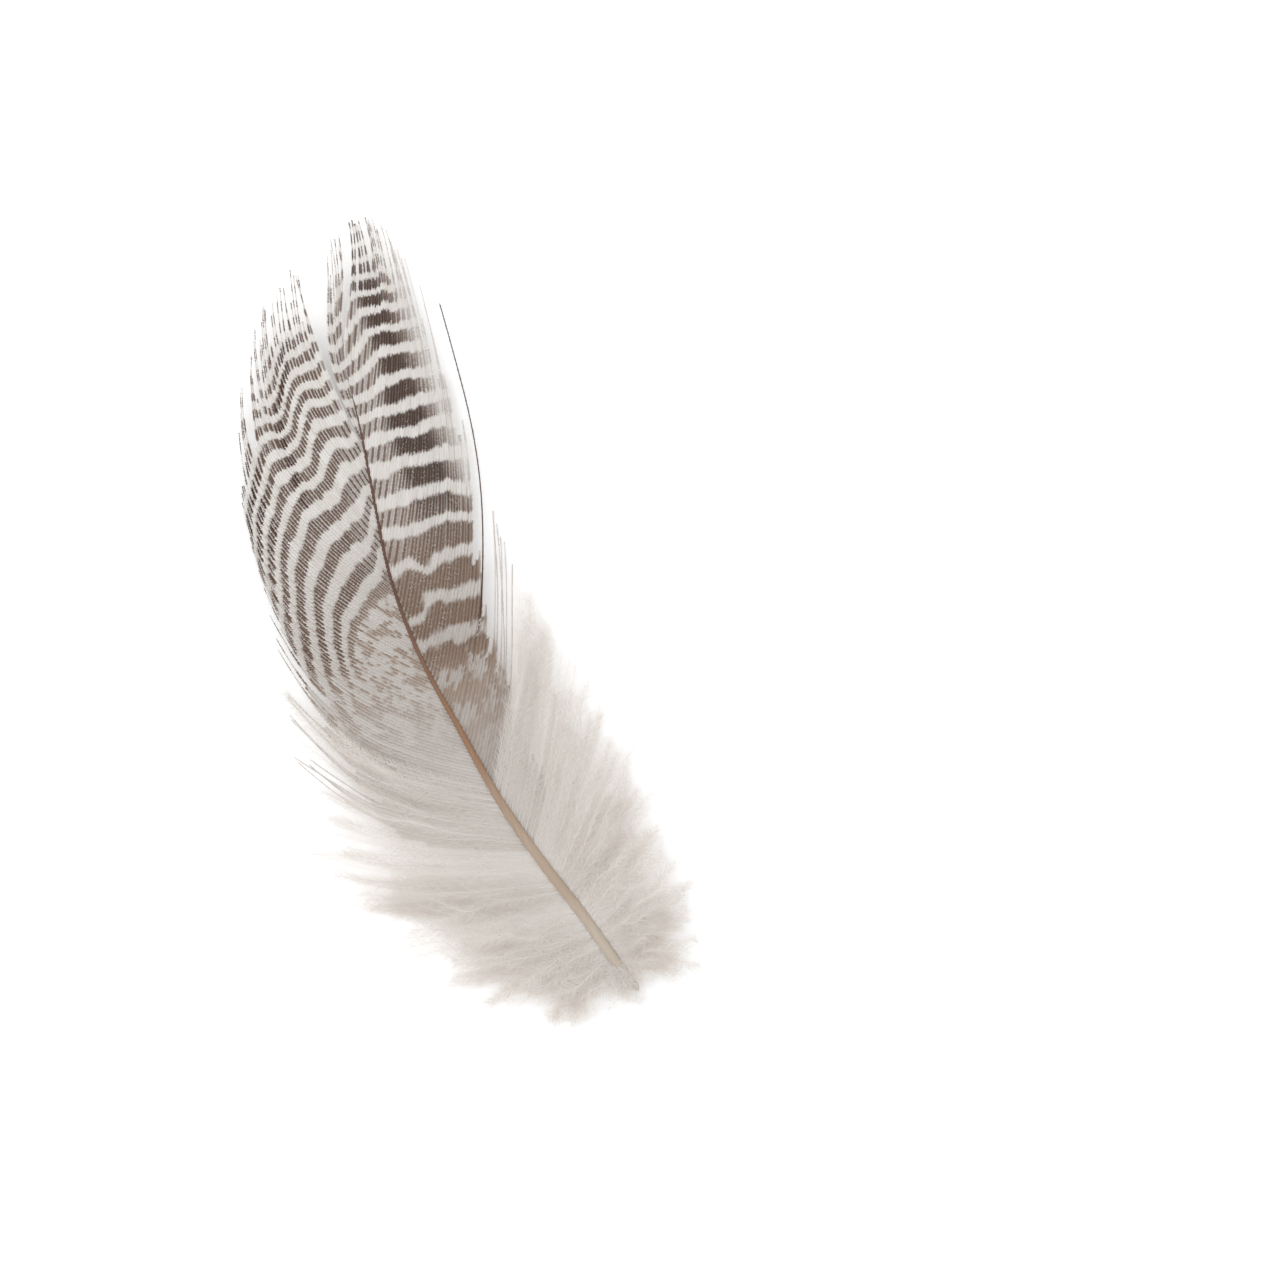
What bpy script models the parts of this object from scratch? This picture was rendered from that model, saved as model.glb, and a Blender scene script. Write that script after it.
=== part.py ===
"""A teal's flank feather, lying on a flat surface with its outer side up.

The plan is drawn in millimetres with the end of the quill near (0, 0) and the tip near (0, 68).
Each vane is one sheet of barb paths, joined at the shaft and parted into tapering locks outside.
"""
import math
import random

import bmesh
import bpy
import numpy as np

MM = 0.001
NAME = "teal_flank_feather"
CENTRE_MM = (-8.03, 33.08)      # middle of the plan, moved to the origin

# Shaft: plan points (x, y) and radii (y, radius)
SHAFT_PLAN_MM = (
    (-0.4, -1.3), (-1.35, 1.7), (-2.75, 6.7), (-4.4, 11.9), (-5.75, 17.0), (-7.05, 24.5),
    (-8.1, 31.5), (-8.2, 38.5), (-7.2, 45.7), (-6.4, 51.0), (-5.8, 56.2), (-5.2, 59.0),
)
SHAFT_RADII_MM = (
    (-1.3, 0.30), (0.6, 0.42), (6.0, 0.46), (12.0, 0.43), (18.0, 0.34), (25.0, 0.24), (34.0, 0.17),
    (54.0, 0.12), (59.0, 0.10),
)
SHAFT_TOP_MM = 56.2
SHAFT_POINTS = 40

# Arch: the vanes' underside is highest at the shaft and meets the floor at the margins
ARCH_MM = 2.9
ARCH_FROM_MM = -2.0
ARCH_TO_MM = 68.0
ARCH_ROUNDING = 0.85            # power of the sine along the feather, below 1 for a fuller arch
LEFT_REACH_MM = 11.4
RIGHT_REACH_MM = 9.6

# Barb paths: root y, lean at the root, tip x, tip y, lean at the tip; a lean is degrees off +Y, outwards
LEFT_BARBS = (
    (1.2, 112, -8.5, -2.8, 118), (3.0, 100, -14.0, 2.0, 100), (5.5, 90, -19.0, 7.5, 84),
    (8.5, 80, -22.6, 14.5, 68), (11.5, 72, -23.0, 20.5, 54), (14.5, 66, -21.6, 27.5, 34),
    (18.0, 61, -20.1, 34.0, 19), (22.0, 57, -18.9, 41.5, 6), (27.0, 49, -17.8, 50.5, -8),
    (34.0, 35, -14.4, 58.2, -19), (40.0, 22, -11.0, 62.2, -17), (45.0, 13, -8.5, 64.6, -15),
    (49.0, 7, -6.2, 65.9, -12),
)
CROWN_BARBS = ((50.0, 6, -4.3, 66.5, -14), (53.0, 0, -3.4, 67.1, -11), (56.6, -8, -2.1, 67.9, -11))
RIGHT_BARBS = (
    (1.2, 110, 4.8, -2.2, 116), (3.0, 90, 6.4, 3.0, 92), (5.5, 66, 7.0, 9.5, 62),
    (9.0, 46, 6.4, 18.5, 40), (12.0, 37, 5.0, 26.5, 28), (15.0, 33, 3.4, 31.5, 22),
    (18.5, 32, 2.4, 35.5, 19), (21.5, 32, 2.1, 41.0, 15), (23.5, 33, 2.9, 48.0, 9),
    (25.0, 35, 3.9, 60.6, 4), (28.0, 33, 3.0, 62.0, 5), (32.0, 31, 2.0, 64.2, 4),
    (38.0, 29, 1.4, 66.1, 3), (44.0, 26, 0.7, 67.3, 3), (50.0, 22, -0.2, 68.0, 3),
    (56.6, 16, -1.75, 68.1, 7),
)
LEFT_HANDLE = 0.46
RIGHT_HANDLE = 0.38

# Locks: the root y where they start, then how far each run goes and how many locks it has
LEFT_LOCKS = ((1.2,), (11.5, 11), (20.0, 7), (27.0, 5), (49.0, 12))
RIGHT_LOCKS = ((1.2,), (12.0, 9), (23.5, 6), (56.6, 10))
CROWN_LOCKS = ((56.6,), (50.0, 3))
ROWS = 9
TIP_WIDTH = 0.14                # of the lock's full width
TAPER_POWER = 1.3
SHORTEST_LOCK = 0.955           # of the barb's full length
LOCK_SEED = 11

# Part of the barb where the edge between two locks opens, in down and in firm vane
OPENS_IN_DOWN = 0.22
OPENS_IN_VANE = 0.62
OPENS_STRAY = 0.07
OPENS_EASE_MM = (6.0, 20.0)     # root y between which one turns into the other

# Gap to the shaft and thickness
ROOT_GAP_MM = 0.3
VANE_THICK_MM = 0.34
DOWN_THICK_MM = 1.15
THINNING = 0.35                 # of the vane's thickness, lost from root to tip
DOWN_EASE_MM = (8.4, 18.2)      # root y between which down turns into firm vane
DOWN_BODY = (0.12, 0.92)        # parts of a half wave that the down's thickness follows, root to tip
CREST_MM = 0.12
DOWN_LIFT_MM = 1.1

# Materials: colour, linear, and roughness
HORN = ((0.35, 0.19, 0.09), 0.42)
BARRED = ((0.42, 0.36, 0.31), 0.78)


def clear_scene():
    """Remove every object, so that the script starts from nothing."""
    for old in list(bpy.data.objects):
        bpy.data.objects.remove(old, do_unlink=True)


def material(name, colour, roughness):
    """Make a plain Principled material."""
    made = bpy.data.materials.new(name)
    made.use_nodes = True
    shader = made.node_tree.nodes["Principled BSDF"]
    shader.inputs["Base Color"].default_value = (*colour, 1.0)
    shader.inputs["Roughness"].default_value = roughness
    shader.inputs["Metallic"].default_value = 0.0
    return made


def through(keys, at):
    """Read a smooth curve through rows of keys, sorted by their first value."""
    table = np.array(keys, float)
    places, values = table[:, 0], table[:, 1:]
    at = float(np.clip(at, places[0], places[-1]))
    low = int(np.clip(np.searchsorted(places, at) - 1, 0, len(places) - 2))
    slopes = np.gradient(values, places, axis=0)
    step = places[low + 1] - places[low]
    f = (at - places[low]) / step
    start = (2 * f**3 - 3 * f**2 + 1) * values[low] + (f**3 - 2 * f**2 + f) * step * slopes[low]
    end = (3 * f**2 - 2 * f**3) * values[low + 1] + (f**3 - f**2) * step * slopes[low + 1]
    return start + end


def smoothstep(low, high, value):
    """Ease from 0 at low to 1 at high."""
    f = min(max((value - low) / (high - low), 0.0), 1.0)
    return f * f * (3.0 - 2.0 * f)


def shaft_x(y):
    """Plan x of the shaft's middle at y."""
    return float(through([(b, a) for a, b in SHAFT_PLAN_MM], y)[0])


def shaft_radius(y):
    """Radius of the shaft at y."""
    return float(through(SHAFT_RADII_MM, y)[0])


def arch(x, y):
    """Height of the vanes' underside above the floor at a plan point."""
    along = min(max((y - ARCH_FROM_MM) / (ARCH_TO_MM - ARCH_FROM_MM), 0.0), 1.0)
    ridge = ARCH_MM * math.sin(math.pi * along) ** ARCH_ROUNDING if 0.0 < along < 1.0 else 0.0
    away = x - shaft_x(y)
    reach = LEFT_REACH_MM if away < 0.0 else RIGHT_REACH_MM
    return ridge * max(0.0, 1.0 - (away / reach) ** 2)


def barb_point(table, side, root, t):
    """Plan point at the part t of the barb that leaves the shaft at the height root."""
    lean, tip_x, tip_y, tip_lean = through(table, root)
    handle = LEFT_HANDLE if side < 0 else RIGHT_HANDLE
    leave = np.array([side * math.sin(math.radians(lean)), math.cos(math.radians(lean))])
    arrive = np.array([side * math.sin(math.radians(tip_lean)), math.cos(math.radians(tip_lean))])
    start = np.array([shaft_x(root) + side * (shaft_radius(root) + ROOT_GAP_MM), root])
    tip = np.array([tip_x, tip_y])
    length = np.linalg.norm(tip - start)
    near = start + leave * length * handle
    far = tip - arrive * length * handle
    u = 1.0 - t
    return u**3 * start + 3 * u * u * t * near + 3 * u * t * t * far + t**3 * tip


def lock_edges(parts):
    """Barbs that part the locks, in their order round the feather, as table, side and root height."""
    edges = []
    for table, side, runs in parts:
        low = runs[0][0]
        edges.append((table, side, low))
        for high, count in runs[1:]:
            edges += [(table, side, low + (high - low) * (k + 1) / count) for k in range(count)]
            low = high
    return edges


def split_depth(root, rng):
    """Part of the barb at which an edge between locks opens: deep in down, shallow in the vane."""
    firm = smoothstep(*OPENS_EASE_MM, root)
    return OPENS_IN_DOWN + (OPENS_IN_VANE - OPENS_IN_DOWN) * firm + rng.uniform(-OPENS_STRAY, OPENS_STRAY)


def add_lock(net, edges, opens, length, lift, turn):
    """Add one lock: three lines of points that run as one sheet and then taper to a tip."""
    root = 0.5 * (edges[0][2] + edges[1][2])
    free_from = max(opens)
    lines = []
    for row in range(ROWS + 1):
        t = row / ROWS
        reach = t * (1.0 - (1.0 - length) * smoothstep(free_from, 1.0, t))
        sides = [barb_point(*edge, reach) for edge in edges]
        centre = 0.5 * (sides[0] + sides[1])
        points = []
        for edge, opening in zip(sides, opens):
            draw_in = max(0.0, (t - opening) / (1.0 - opening)) ** TAPER_POWER * (1.0 - TIP_WIDTH)
            points.append(edge * (1.0 - draw_in) + centre * draw_in)
        points.insert(1, centre)
        downy = 1.0 - smoothstep(*DOWN_EASE_MM, root)
        body = math.sin(math.pi * (DOWN_BODY[0] + (DOWN_BODY[1] - DOWN_BODY[0]) * t))
        thick = VANE_THICK_MM * (1.0 - THINNING * t) + downy * (DOWN_THICK_MM - VANE_THICK_MM) * body
        raised = lift * downy * math.sin(math.pi * t) * smoothstep(free_from, 1.0, t)
        line = []
        for place, (x, y) in enumerate(points):
            height = arch(x, y)
            crest = CREST_MM * min(1.0, height) if place == 1 else 0.0
            vert = net.verts.new((x * MM, y * MM, (height + crest + raised) * MM))
            line.append((vert, thick))
        lines.append(line)
    for lower, upper in zip(lines, lines[1:]):
        for k in range(2):
            corners = [lower[k][0], lower[k + 1][0], upper[k + 1][0], upper[k][0]]
            net.faces.new(corners if turn < 0 else corners[::-1])
    return [pair for line in lines for pair in line]


def vane(name, look, parts, parent, collection):
    """Build one vane as one sheet of locks, thickened upwards."""
    net = bmesh.new()
    weight = net.verts.layers.deform.verify()
    first_side = parts[0][1]
    rng = random.Random(LOCK_SEED + first_side)
    edges = lock_edges(parts)
    depths = [split_depth(root, rng) for _, _, root in edges]
    for k in range(len(edges) - 1):
        length = rng.uniform(SHORTEST_LOCK, 1.0)
        lift = DOWN_LIFT_MM * (k % 2)
        made = add_lock(net, edges[k:k + 2], depths[k:k + 2], length, lift, first_side)
        for vert, thick in made:
            vert[weight][0] = thick / DOWN_THICK_MM
    bmesh.ops.remove_doubles(net, verts=net.verts, dist=0.0001 * MM)
    mesh = bpy.data.meshes.new(name)
    net.to_mesh(mesh)
    net.free()
    made = bpy.data.objects.new(name, mesh)
    collection.objects.link(made)
    made.parent = parent
    made.vertex_groups.new(name="thickness")
    shell = made.modifiers.new("thickness", "SOLIDIFY")
    shell.thickness = DOWN_THICK_MM * MM
    shell.offset = 1.0
    shell.vertex_group = "thickness"
    mesh.materials.append(look)
    mesh.shade_smooth()
    return made


def shaft(look, parent, collection):
    """Build the quill and shaft as one tapering tube with closed ends."""
    curve = bpy.data.curves.new("shaft", "CURVE")
    curve.dimensions = "3D"
    curve.bevel_depth = MM
    curve.bevel_resolution = 2
    curve.use_fill_caps = True
    line = curve.splines.new("POLY")
    line.points.add(SHAFT_POINTS - 1)
    bottom = SHAFT_PLAN_MM[0][1]
    for k, point in enumerate(line.points):
        y = bottom + (SHAFT_TOP_MM - bottom) * k / (SHAFT_POINTS - 1)
        x = shaft_x(y)
        radius = shaft_radius(y)
        point.co = (x * MM, y * MM, (arch(x, y) + radius) * MM, 1.0)
        point.radius = radius
    made = bpy.data.objects.new("shaft", curve)
    curve.materials.append(look)
    collection.objects.link(made)
    made.parent = parent
    return made


def main():
    """Build the feather in a collection of its own."""
    clear_scene()
    collection = bpy.data.collections.new(NAME)
    bpy.context.scene.collection.children.link(collection)
    base = bpy.data.objects.new(NAME, None)
    base.location = (-CENTRE_MM[0] * MM, -CENTRE_MM[1] * MM, 0.0)
    collection.objects.link(base)
    horn = material("shaft_horn", *HORN)
    barred = material("barred_vane", *BARRED)
    shaft(horn, base, collection)
    left = ((LEFT_BARBS, -1, LEFT_LOCKS),)
    right_and_tip = ((RIGHT_BARBS, 1, RIGHT_LOCKS), (CROWN_BARBS, -1, CROWN_LOCKS))
    vane("left_vane", barred, left, base, collection)
    vane("right_vane", barred, right_and_tip, base, collection)


main()
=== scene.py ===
"""Looks of a teal's flank feather: horny shaft, barred vanes of barbs with barbules, and soft down.

Plan sizes are in millimetres, with the end of the quill near (0, 0) and the tip near (0, 68).
"""
import math

import bpy
import numpy as np
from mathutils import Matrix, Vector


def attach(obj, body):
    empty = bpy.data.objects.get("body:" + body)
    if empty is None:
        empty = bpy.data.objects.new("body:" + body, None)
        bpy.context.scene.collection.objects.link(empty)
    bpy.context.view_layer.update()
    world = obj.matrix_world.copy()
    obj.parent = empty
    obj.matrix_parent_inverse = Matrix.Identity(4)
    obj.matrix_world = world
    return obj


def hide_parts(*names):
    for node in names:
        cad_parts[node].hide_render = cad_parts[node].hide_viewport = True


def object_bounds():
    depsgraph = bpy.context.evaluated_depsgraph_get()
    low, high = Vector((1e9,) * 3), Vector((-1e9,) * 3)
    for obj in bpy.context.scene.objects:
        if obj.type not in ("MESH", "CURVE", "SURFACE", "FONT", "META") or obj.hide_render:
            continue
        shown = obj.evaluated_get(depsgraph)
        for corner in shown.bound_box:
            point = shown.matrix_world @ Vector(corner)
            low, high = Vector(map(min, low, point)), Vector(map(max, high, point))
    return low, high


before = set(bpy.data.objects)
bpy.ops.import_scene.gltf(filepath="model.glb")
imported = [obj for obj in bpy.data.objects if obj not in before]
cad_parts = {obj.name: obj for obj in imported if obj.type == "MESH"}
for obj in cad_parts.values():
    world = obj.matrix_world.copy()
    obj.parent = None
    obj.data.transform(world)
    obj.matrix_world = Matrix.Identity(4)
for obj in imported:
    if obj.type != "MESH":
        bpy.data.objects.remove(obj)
CAD_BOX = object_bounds()

MM = 0.001
CENTRE_MM = (-8.03, 33.08)      # plan point of the frame's origin
SEED = 5

# Shaft: plan points (x, y), radii (y, radius), the heights of its ends and how it is rounded and fined
SHAFT_PLAN_MM = (
    (-0.4, -1.3), (-1.35, 1.7), (-2.75, 6.7), (-4.4, 11.9), (-5.75, 17.0), (-7.05, 24.5),
    (-8.1, 31.5), (-8.2, 38.5), (-7.2, 45.7), (-6.4, 51.0), (-5.8, 56.2), (-5.2, 59.0),
)
SHAFT_RADII_MM = (
    (-1.3, 0.30), (0.6, 0.42), (6.0, 0.46), (12.0, 0.43), (18.0, 0.34), (25.0, 0.24), (34.0, 0.17),
    (54.0, 0.12), (59.0, 0.10),
)
QUILL_END_MM = -1.3
SHAFT_END_MM = 59.5
QUILL_ROUNDING_MM = 0.45
SHAFT_FINER_MM = (48.0, 53.0)       # heights over which the shaft gets finer under the barbs
SHAFT_FINEST_MM = (54.0, 59.5)      # heights over which it ends among the tip's barbs
SHAFT_ROWS = 220
SHAFT_SIDES = 16
SHAFT_FLATNESS = 0.88
SHAFT_GROOVE = 0.10                 # depth of the groove under the shaft, as a part of its radius
SHAFT_COLOUR_RUN_MM = 60.0          # length over which the horn's colours run, from the quill's end

# Arch: the vanes' underside is highest at the shaft and meets the floor at the margins
ARCH_MM = 2.9
ARCH_FROM_MM = -2.0
ARCH_TO_MM = 68.0
ARCH_ROUNDNESS = 0.85
LEFT_REACH_MM = 11.4
RIGHT_REACH_MM = 9.6

# Barb paths: root y, lean at the root, tip x, tip y, lean at the tip; a lean is degrees off +Y, outwards
LEFT_BARBS = (
    (1.2, 112, -8.5, -2.8, 118), (3.0, 100, -14.0, 2.0, 100), (5.5, 90, -19.0, 7.5, 84),
    (8.5, 80, -22.6, 14.5, 68), (11.5, 72, -23.0, 20.5, 54), (14.5, 66, -21.6, 27.5, 34),
    (18.0, 61, -20.1, 34.0, 19), (22.0, 57, -18.9, 41.5, 6), (27.0, 49, -17.8, 50.5, -8),
    (34.0, 35, -14.4, 58.2, -19), (40.0, 22, -11.1, 63.3, -17), (45.0, 13, -8.5, 65.5, -15),
    (49.0, 7, -6.2, 66.5, -12),
)
CROWN_BARBS = ((50.0, 6, -4.3, 66.5, -14), (53.0, 0, -3.4, 67.1, -11), (56.6, -8, -2.1, 67.9, -11))
RIGHT_BARBS = (
    (1.2, 110, 4.8, -2.2, 116), (3.0, 90, 6.4, 3.0, 92), (5.5, 66, 7.0, 9.5, 62),
    (9.0, 46, 6.4, 18.5, 40), (12.0, 37, 5.0, 26.5, 28), (15.0, 33, 3.4, 31.5, 22),
    (18.5, 32, 2.4, 35.5, 19), (21.5, 32, 2.1, 41.0, 15), (23.5, 33, 2.9, 48.0, 9),
    (25.0, 35, 3.9, 60.6, 4), (28.0, 33, 3.0, 62.0, 5), (32.0, 31, 2.0, 64.2, 4),
    (38.0, 29, 1.4, 66.1, 3), (44.0, 26, 0.7, 67.3, 3), (50.0, 22, -0.2, 68.0, 3),
    (56.6, 16, -1.75, 68.1, 7),
)
LEFT_HANDLE = 0.46
RIGHT_HANDLE = 0.38
ROOT_DEPTH = 0.6                    # how far from the shaft's middle barbs start, as a part of its radius

# Vane barbs: first and last root, the pitch between barbs, and the part of their length it is measured at
LEFT_ROOTS_MM = (13.0, 49.0)
LEFT_PITCH_MM = 0.26
RIGHT_ROOTS_MM = (13.5, 56.6)
RIGHT_PITCH_MM = 0.25
VANE_PITCH_AT = 0.35
CROWN_ROOTS_MM = (50.0, 56.6)
CROWN_PITCH_MM = 0.21
CROWN_PITCH_AT = 0.85

# Dark bars: heights at the shaft of their middles, on the left and right vane
LEFT_BARS_MM = (
    20.0, 23.0, 26.0, 29.0, 32.0, 35.0, 37.7, 40.1, 43.3, 46.6, 49.4, 51.5,
    53.6, 55.4, 57.0, 58.6, 60.1, 61.6, 63.0, 64.4, 65.8, 67.1, 68.4,
)
RIGHT_BARS_MM = (
    17.0, 20.5, 24.0, 27.3, 30.6, 34.0, 37.3, 40.5, 43.1, 45.9, 48.6, 50.8,
    53.1, 55.4, 57.6, 59.4, 61.1, 62.5, 64.0, 65.4, 66.7, 68.0, 69.2,
)

# Left bars are oval arcs about ARC_MIDDLE_MM. An arc's half width is the first value of ARC_WIDTH, plus the
# second times its height above that point
ARC_MIDDLE_MM = (-8.5, 32.0)
ARC_WIDTH = (2.76, 0.40)

# Where left bars dip, as rows of level, x and depth, and how far they rise beside the shaft, as rows of
# level and rise; a bar's level is the height at which its arc meets the shaft
ARC_DIP_MM = (
    (43.0, -10.8, 0.3), (46.5, -10.9, 1.3), (51.5, -12.2, 1.6), (58.7, -12.5, 2.3), (68.0, -12.0, 2.3),
)
ARC_DIP_WIDTH_MM = 1.6
ARC_RISE_MM = ((38.0, 0.2), (40.5, 2.0), (44.5, 1.9), (47.0, 0.6), (68.0, 0.6))
ARC_RISE_BESIDE_MM = (1.4, 0.1)     # distances from the shaft between which the rise sets in

# Where bars set in on each side, and where the barbs' dusky tone sets in, by side (-1 is left and 1 right),
# and fades, all as heights
LEFT_BARRED_FROM_MM = (20.0, 33.0)
RIGHT_BARRED_FROM_MM = (18.0, 31.0)
DUSK_FROM_MM = {-1: (15.5, 23.0), 1: (13.0, 21.0)}
LEFT_DUSK_TO_MM = (30.0, 50.0)
RIGHT_DUSK_TO_MM = (26.0, 47.0)

# Left vane: the dark streak's middle, as rows of y and x, its half width, the heights where it starts and
# ends, and the dark rim, by x and by height
LEFT_STREAK_MM = ((44.0, -13.0), (49.0, -12.9), (55.0, -12.3), (58.0, -10.8), (62.0, -9.0))
STREAK_WIDTH_MM = 0.45
STREAK_FROM_MM = (43.0, 48.0)
STREAK_TO_MM = (61.0, 64.0)
RIM_X_MM = (-14.5, -17.0)
RIM_FROM_MM = (40.0, 48.0)
LEFT_MOTTLE_OUT_MM = (3.5, 8.0)     # heights above the arcs' middle between which flecks give way to bars
LEFT_MOTTLE_TO_MM = (29.0, 34.5)

# Right vane: the dark core's inner and outer edge, by x, and the heights where what is named starts or ends
CORE_IN_MM = (-4.9, -3.7)
CORE_OUT_MM = (-0.2, -1.4)
CORE_MOVES_MM = (50.0, 56.0)        # heights between which the core's inner edge moves out by CORE_MOVE_MM
CORE_MOVE_MM = 1.2
CORE_FROM_MM = (39.0, 45.0)
CORE_TO_MM = (68.0, 62.0)
CORE_WARM_TO_MM = (36.0, 46.0)
RIGHT_MOTTLE_TO_MM = (27.0, 35.0)
RIGHT_LOW_TO_MM = (38.0, 47.0)      # where the broad brown bars low on the right vane end
MARGIN_X_MM = (-0.5, 0.9)           # x between which the right vane's bars pale to its margin
MARGIN_FROM_MM = (40.0, 45.0)
TIP_PALE_MM = (61.0, 65.0)

# Where every other barb is paler, in both vanes: distances from the shaft and heights
BESIDE_SHAFT_MM = (2.8, 1.2)
BESIDE_FROM_MM = (36.0, 42.0)

# Where the firm vane ends, as rows of y and x: most barbs stop there, and the rest run on as loose strands
LEFT_FIRM_MM = (
    (10.0, -12.0), (20.0, -15.5), (30.0, -17.8), (36.0, -18.4), (44.0, -17.9), (52.0, -16.3),
    (58.0, -14.0), (62.0, -11.6), (68.0, -8.0),
)
RIGHT_FIRM_MM = (
    (10.0, -1.0), (20.0, -2.6), (26.0, -2.3), (34.0, -2.0), (38.0, -0.9), (42.0, 0.3), (46.0, 1.1),
    (50.0, 1.5), (54.0, 1.2), (60.0, 1.0), (68.0, 1.0),
)
FIRM_STRAY_MM = (-0.8, 0.6)
LEFT_LOOSE_SHARE = 0.45
RIGHT_LOOSE_SHARE = 0.5
RIGHT_LOOSE_MM = (17.0, 21.0)       # root heights between which right barbs start to lock and to run on
OUTER_STRAND_ROOT_MM = 25.0
STRAND_CLEAR_MM = (23.0, 29.0)      # no other barb rooted between these lies loose beside the strand
NO_LIMIT_MM = 99.0
LEFT_SPLIT = (35.0, 0.60, 0.34)     # root height, part where it opens and half width of a split
SPLIT_SPREAD_MM = 1.6               # how far from the split, in root heights, barbs still move

# Barbs cling together in locks: barbs in a lock, the part of their length where it starts, and its pull
LOCKING = ((11, 0.55, 0.22), (4, 0.72, 0.55), (2, 0.48, 0.80))
SHORT_SHARE = 0.42                  # share of barbs that stop short
SHORT_PARTS = (0.76, 0.96)          # parts of their length between which they stop
LONG_PARTS = (0.95, 1.0)            # parts of their length between which the others stop

# Vane barbs: points along each, half width and height of the ramus, what the dark strand has beyond that,
# how high the barbs lie above the arch, and the size of their waves sideways and up
BARB_ROWS = 44
RAMUS_HALF_MM = 0.045
RAMUS_HEIGHT_MM = 0.05
STRAND_EXTRA_MM = 0.015
VANE_LIFT_MM = 0.20
BARB_WAVE_MM = 0.05
BARB_RIPPLE_MM = 0.04

# Barbules: their reach near the shaft, as a part of the gap between barbs and between limits, their reach
# away from it, how much shorter and finer they are where barbs are loose, and for each kind the part of the
# barb where they start, pitch, lean and rise in degrees, bend, segments, and how far the lean strays
NEAR_REACH = 1.35
NEAR_REACH_MM = (0.17, 0.46)
STRAND_GAP_MM = 0.2
FAR_REACH_MM = 0.28
FAR_RUN_MM = (0.5, 6.0)
LOOSE_SHORTER_MM = 0.18
BARBULE_WIDTH_MM = 0.12
LOOSE_FINER_MM = 0.05
VANE_BARBULES = {
    "start": 0.004, "pitch": 0.16, "lean": 47.0, "rise": (-16.0, -4.0), "bend": 0.25,
    "steps": 1, "stray": 9.0,
}
DOWN_BARBULES = {
    "start": 0.01, "pitch": 0.12, "lean": 56.0, "rise": (-18.0, 30.0), "bend": 0.3,
    "steps": 2, "stray": 30.0,
}
TUFT_BARBULES = {
    "start": 0.01, "pitch": 0.11, "lean": 55.0, "rise": (-25.0, 35.0), "bend": 0.3,
    "steps": 2, "stray": 30.0,
}

# Down: for each kind its part of the path's length, waviness in mm and the barbules' reach in mm
LOW_DOWN = ((0.55, 0.88), 0.62, 1.15)
UPPER_DOWN = ((0.60, 0.95), 0.22, 0.80)
WISPS = ((0.88, 1.0), 0.60, 0.9)
LOW_DOWN_BARBS = 58
LOW_DOWN_ROOTS_MM = (1.0, 10.0)
LEFT_UPPER_BARBS = 42
RIGHT_UPPER_BARBS = 62
UPPER_DOWN_ROOTS_MM = (8.0, 19.0)
UPPER_DOWN_STRAY_MM = 0.15
WISP_BARBS = 20
WISP_ROOTS_MM = (1.0, 18.0)
DOWN_ROWS = 26
DOWN_RAMUS_MM = (0.026, 0.030)      # half width and height of a down ramus
DOWN_BLADE_MM = 0.020

# Tuft over the quill's end: strands, points along each, mean and spread of their turn off +Y, their reach,
# the height on the shaft that they are centred on, the heights that they start from, waves and sizes
TUFT_BARBS = 62
TUFT_ROWS = 16
TUFT_TURN_DEG = (190.0, 66.0)
TUFT_REACH_MM = (0.9, 2.2)
TUFT_ROOT_MM = 1.6
TUFT_STARTS_MM = (-1.0, 1.5)
TUFT_WAVE_MM = 0.25
TUFT_RAMUS_MM = (0.014, 0.018)
TUFT_BARBULE_REACH_MM = 0.7
TUFT_BLADE_MM = 0.016
# A tone under nought takes back part of the painted shade on the tuft's barbules
TUFT_WHITENESS = -0.8               # tone of the whitest strand; one under nought is whiter than the down

# Heights that every piece stays between, above the floor and below the solids' top
LOWEST_MM = 0.02
HIGHEST_MM = CAD_BOX[1][2] / MM
DOWN_BASE_MM = 0.30             # height of the lowest down barbs above the vanes' underside
DOWN_LIFT_MM = 1.4              # most that a down barb rises above these, where there is room
DOWN_CLEAR_MM = 0.30            # room left above the highest down barbs for their barbules

# Values kept at each point of a vane's and of the down's mesh, which the materials read
VANE_VALUES = (
    "bar", "depth", "share", "warm", "mottle", "tone", "edge", "run", "lane", "solid", "fade", "dusk",
)
DOWN_VALUES = ("tone", "edge")

# Places across a barb's strip of the UV map, for the four corners of its ramus
RAMUS_STRIP = (0.42, 0.47, 0.53, 0.58)

# Colours, linear
LIGHT_BARB = (0.86, 0.832, 0.803)
WARM_BARB = (0.785, 0.743, 0.70)
DUSK_BARB = (0.49, 0.442, 0.408)
DARK_BROWN = (0.060, 0.025, 0.012)
MID_BROWN = (0.130, 0.062, 0.033)
FLECK_BROWN = (0.43, 0.325, 0.252)
DOWN_WHITE = (0.91, 0.875, 0.84)
# Darker down colour: used for random greyer patches, and as painted shade on the barbules' outer parts
DOWN_GREY_AND_SHADE = (0.74, 0.665, 0.60)
QUILL_IVORY = (0.53, 0.455, 0.37)
QUILL_HORN = (0.45, 0.345, 0.26)
SHAFT_AMBER = (0.30, 0.16, 0.085)
SHAFT_BROWN = (0.11, 0.050, 0.030)
FLOOR_WHITE = (0.95, 0.95, 0.95)
WHITE = (1.0, 1.0, 1.0, 1.0)

# Bars: scale and size of their wobble, how sharp their edge is, and between which parts of a barbule they
# pale to its tip
WOBBLE_SCALE = 520.0
BAR_WOBBLE = 0.34
BAR_EDGE = (-0.38, 0.34)
PALE_BARBULE = (0.35, 0.85)

# Flecks among the bars: scale of each noise and its node's place, the noise's gain and offset, and how fast
# it changes from barb to barb and along a barb
FLECKS = ((1.0, -100), (0.38, -300))
FLECK_GAIN = 4.4
FLECK_OFFSET = -2.25
FLECK_LANES = 0.9
FLECK_RUN = 1.15

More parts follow.
